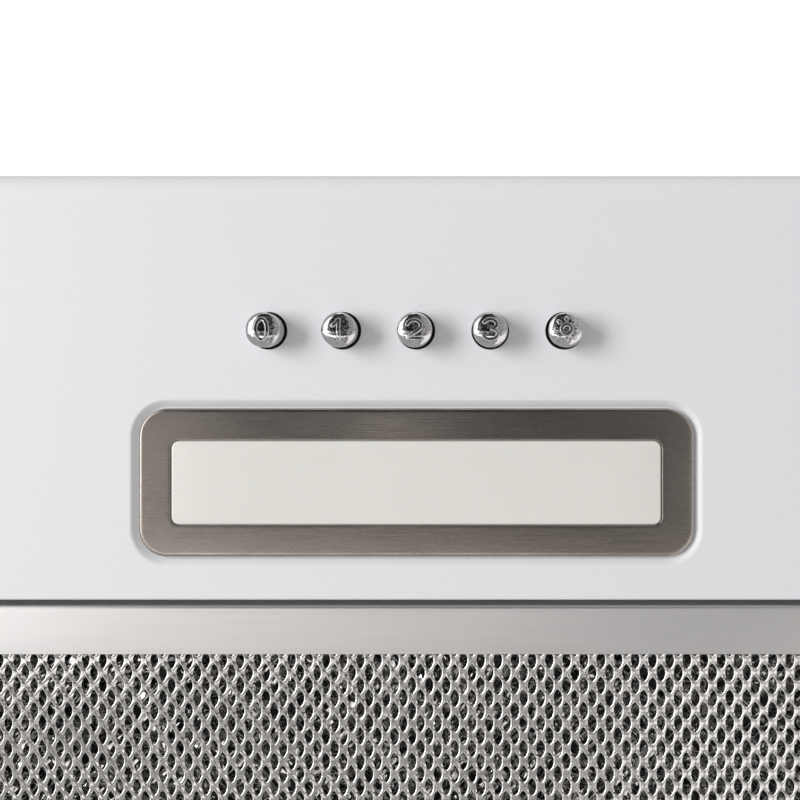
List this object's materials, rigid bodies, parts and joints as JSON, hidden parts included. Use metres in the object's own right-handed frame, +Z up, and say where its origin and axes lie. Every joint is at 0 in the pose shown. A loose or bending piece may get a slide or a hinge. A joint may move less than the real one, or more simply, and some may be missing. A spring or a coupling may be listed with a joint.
{
  "type": "range hood insert",
  "caption": "Built-in range hood insert: white panel with chrome push buttons, strip lamp and swing-down mesh filter under a galvanised casing with a double-inlet blower and duct collar.",
  "frame": {"origin": "centre of the four cabinet fixing holes, on the plane where the panel's rim meets the cabinet's underside", "axes": "+X along the width, +Y from the button edge towards the wall, +Z up towards the duct"},
  "size_m": [0.525, 0.2932, 0.2404],
  "materials": {
    "white_powder_coat": "satin powder coat",
    "galvanised_steel": "galvanised, dull",
    "zinc_plated_steel": "zinc plated",
    "electrical_steel": "stacked laminations",
    "copper_winding": "enamelled copper",
    "grey_plastic": "matt",
    "black_plastic": "matt",
    "white_plastic": "semi-gloss",
    "brass_contacts": "tinned brass",
    "chrome_plating": "mirror chrome",
    "brushed_stainless": "brushed along its length",
    "opal_plastic": "opal, satin",
    "circuit_board": "white solder mask",
    "satin_aluminium": "satin",
    "mesh_aluminium": "bright expanded foil"
  },
  "bodies": {
    "housing": {"underside_panel": "white_powder_coat", "fixing_bushes": "black_plastic", "casing_shell": "galvanised_steel", "end_plates": "galvanised_steel", "side_clips": "galvanised_steel", "casing_screws": "zinc_plated_steel", "collar_plate": "galvanised_steel", "duct_collar": "black_plastic", "damper_pin": "zinc_plated_steel", "scroll_left": "grey_plastic", "scroll_right": "grey_plastic", "inlet_rings": "galvanised_steel", "motor_bracket": "galvanised_steel", "motor_drive_bell": "galvanised_steel", "motor_outer_bell": "galvanised_steel", "motor_stator": "electrical_steel", "motor_windings": "copper_winding", "motor_bearings": "zinc_plated_steel", "run_capacitor": "white_plastic", "control_box": "grey_plastic", "control_box_lid": "grey_plastic", "terminal_block": "white_plastic", "cable_gland": "black_plastic", "wiring_leads": "black_plastic", "switch_bracket": "galvanised_steel", "switch_body": "black_plastic", "switch_terminals": "brass_contacts", "lamp_bezel": "brushed_stainless", "lamp_diffuser": "opal_plastic", "lamp_housing": "white_plastic", "lamp_board": "circuit_board"},
    "fan": {"impeller_disc": "black_plastic", "impeller_cages": "black_plastic", "motor_shaft": "zinc_plated_steel", "motor_rotor": "electrical_steel", "impeller_nut": "zinc_plated_steel"},
    "damper_front": {"damper_flap_front": "grey_plastic"},
    "damper_rear": {"damper_flap_rear": "grey_plastic"},
    "filter": {"filter_frame": "satin_aluminium", "filter_face_mesh": "mesh_aluminium", "filter_core_mesh": "mesh_aluminium", "filter_back_mesh": "mesh_aluminium", "filter_hooks": "satin_aluminium", "latch_plate": "satin_aluminium"},
    "filter_latch": {"latch_slide": "black_plastic"},
    "button_0": {"button_cap_0": "chrome_plating", "button_stem_0": "black_plastic", "button_spring_0": "zinc_plated_steel"},
    "button_1": {"button_cap_1": "chrome_plating", "button_stem_1": "black_plastic", "button_spring_1": "zinc_plated_steel"},
    "button_2": {"button_cap_2": "chrome_plating", "button_stem_2": "black_plastic", "button_spring_2": "zinc_plated_steel"},
    "button_3": {"button_cap_3": "chrome_plating", "button_stem_3": "black_plastic", "button_spring_3": "zinc_plated_steel"},
    "button_light": {"button_cap_light": "chrome_plating", "button_stem_light": "black_plastic", "button_spring_light": "zinc_plated_steel"}
  },
  "joints": [
    {"name": "fan_spin", "type": "hinge", "parent": "housing", "child": "fan", "pos_m": [0, -0.02, 0.086], "axis": [1, 0, 0], "continuous": true},
    {"name": "damper_front_swing", "type": "hinge", "parent": "housing", "child": "damper_front", "pos_m": [0, 0.0275, 0.188], "axis": [-1, 0, 0], "range_deg": [0, 80]},
    {"name": "damper_rear_swing", "type": "hinge", "parent": "housing", "child": "damper_rear", "pos_m": [0, 0.0275, 0.188], "axis": [1, 0, 0], "range_deg": [0, 80]},
    {"name": "filter_swing", "type": "hinge", "parent": "housing", "child": "filter", "pos_m": [0, -0.0302, -0.009], "axis": [-1, 0, 0], "range_deg": [0, 75]},
    {"name": "latch_slide_move", "type": "slide", "parent": "filter", "child": "filter_latch", "axis": [0, 1, 0], "range_m": [0, 0.003]},
    {"name": "button_0_press", "type": "slide", "parent": "housing", "child": "button_0", "axis": [0, 0, 1], "range_m": [0, 0.004], "stiffness_N_per_m": 300, "springref_m": -0.002, "deforming": ["button_spring_0"]},
    {"name": "button_1_press", "type": "slide", "parent": "housing", "child": "button_1", "axis": [0, 0, 1], "range_m": [0, 0.004], "stiffness_N_per_m": 300, "springref_m": -0.002, "deforming": ["button_spring_1"]},
    {"name": "button_2_press", "type": "slide", "parent": "housing", "child": "button_2", "axis": [0, 0, 1], "range_m": [0, 0.004], "stiffness_N_per_m": 300, "springref_m": -0.002, "deforming": ["button_spring_2"]},
    {"name": "button_3_press", "type": "slide", "parent": "housing", "child": "button_3", "axis": [0, 0, 1], "range_m": [0, 0.004], "stiffness_N_per_m": 300, "springref_m": -0.002, "deforming": ["button_spring_3"]},
    {"name": "button_light_press", "type": "slide", "parent": "housing", "child": "button_light", "axis": [0, 0, 1], "range_m": [0, 0.004], "stiffness_N_per_m": 300, "springref_m": -0.002, "deforming": ["button_spring_light"]}
  ]
}
